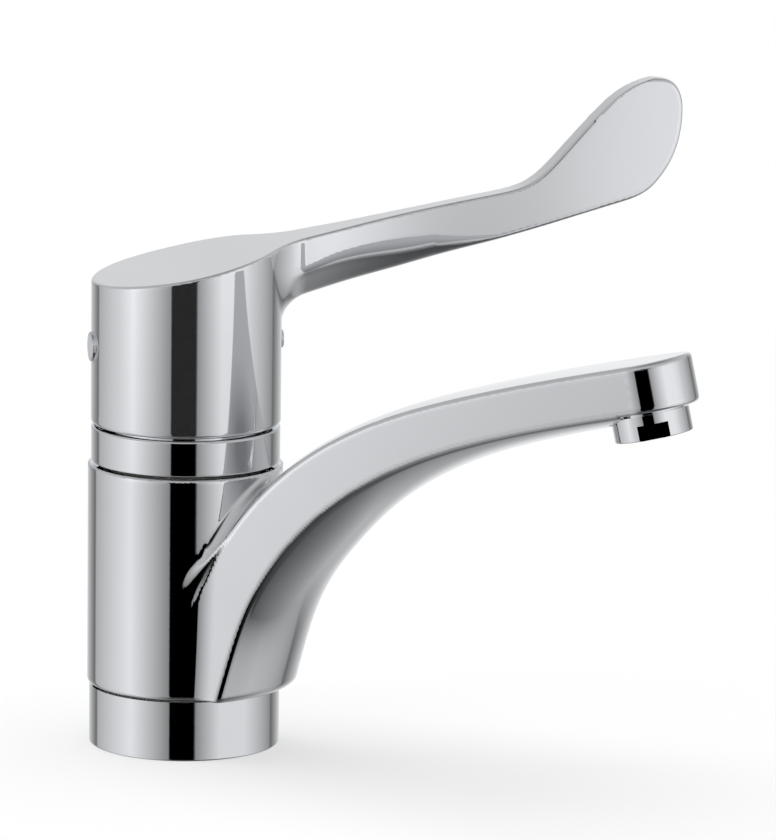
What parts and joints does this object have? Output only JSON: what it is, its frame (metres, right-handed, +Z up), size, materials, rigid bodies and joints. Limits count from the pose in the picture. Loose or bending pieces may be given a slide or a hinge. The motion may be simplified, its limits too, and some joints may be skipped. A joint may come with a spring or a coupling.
{
  "type": "kitchen mixer tap",
  "caption": "Chrome single-lever kitchen mixer tap with a low arched swivel spout, a round aerator and a long upturned lever on a cylindrical body.",
  "frame": {"origin": "centre of the base's underside, on the deck that the tap stands on", "axes": "+Z up along the body's axis, +X along the lever in its middle position, +Y to the cold side; at rest the spout points 40 degrees from +X towards -Y"},
  "size_m": [0.173, 0.1369, 0.1912],
  "materials": {
    "chrome": "polished chrome plating on brass",
    "brass": "machined",
    "steel": "stainless, machined",
    "seal_rubber": "moulded",
    "bearing_plastic": "natural acetal",
    "cartridge_plastic": "glass-filled, moulded",
    "aerator_plastic": "moulded"
  },
  "bodies": {
    "base": {"base_ring": "chrome", "base_gasket": "seal_rubber", "valve_body": "brass", "thrust_washer": "bearing_plastic", "lower_bearing_ring": "bearing_plastic", "upper_bearing_ring": "bearing_plastic", "lower_spout_seal": "seal_rubber", "upper_spout_seal": "seal_rubber", "spout_circlip": "steel", "carrier_washer": "bearing_plastic", "retaining_nut": "brass", "swivel_stop_pin": "steel", "cartridge_sleeve": "cartridge_plastic", "port_seals": "seal_rubber", "cartridge_seals": "seal_rubber", "cartridge_cap": "cartridge_plastic", "stem_seal": "seal_rubber", "retaining_clip": "steel"},
    "spout": {"spout": "chrome", "aerator_housing": "chrome", "aerator_insert": "aerator_plastic", "aerator_mesh": "steel", "aerator_washer": "seal_rubber"},
    "carrier": {"collar_ring": "chrome", "dome": "chrome", "hinge_pin": "steel"},
    "stem": {"cartridge_stem": "steel", "spool_seals": "seal_rubber"},
    "handle": {"handle": "chrome", "handle_yoke": "brass", "link_pin": "steel", "rear_grub_screw": "steel", "front_grub_screw": "steel", "rear_plug": "chrome", "front_plug": "chrome"}
  },
  "joints": [
    {"name": "spout_swivel", "type": "hinge", "parent": "base", "child": "spout", "pos_m": [0, 0, 0.05], "axis": [0, 0, 1], "range_deg": [-30, 110]},
    {"name": "handle_turn", "type": "hinge", "parent": "base", "child": "carrier", "pos_m": [0, 0, 0.085], "axis": [0, 0, 1], "range_deg": [-50, 50]},
    {"name": "handle_lift", "type": "hinge", "parent": "carrier", "child": "handle", "pos_m": [-0.0242, 0, 0.0958], "axis": [0, -1, 0], "range_deg": [0, 14]},
    {"name": "stem_lift", "type": "slide", "parent": "carrier", "child": "stem", "axis": [0, 0, 1], "range_m": [0, 0.0059]}
  ],
  "couplings": [
    {"joint": "stem_lift", "follows": "handle_lift", "m_per_rad": 0.02396}
  ]
}
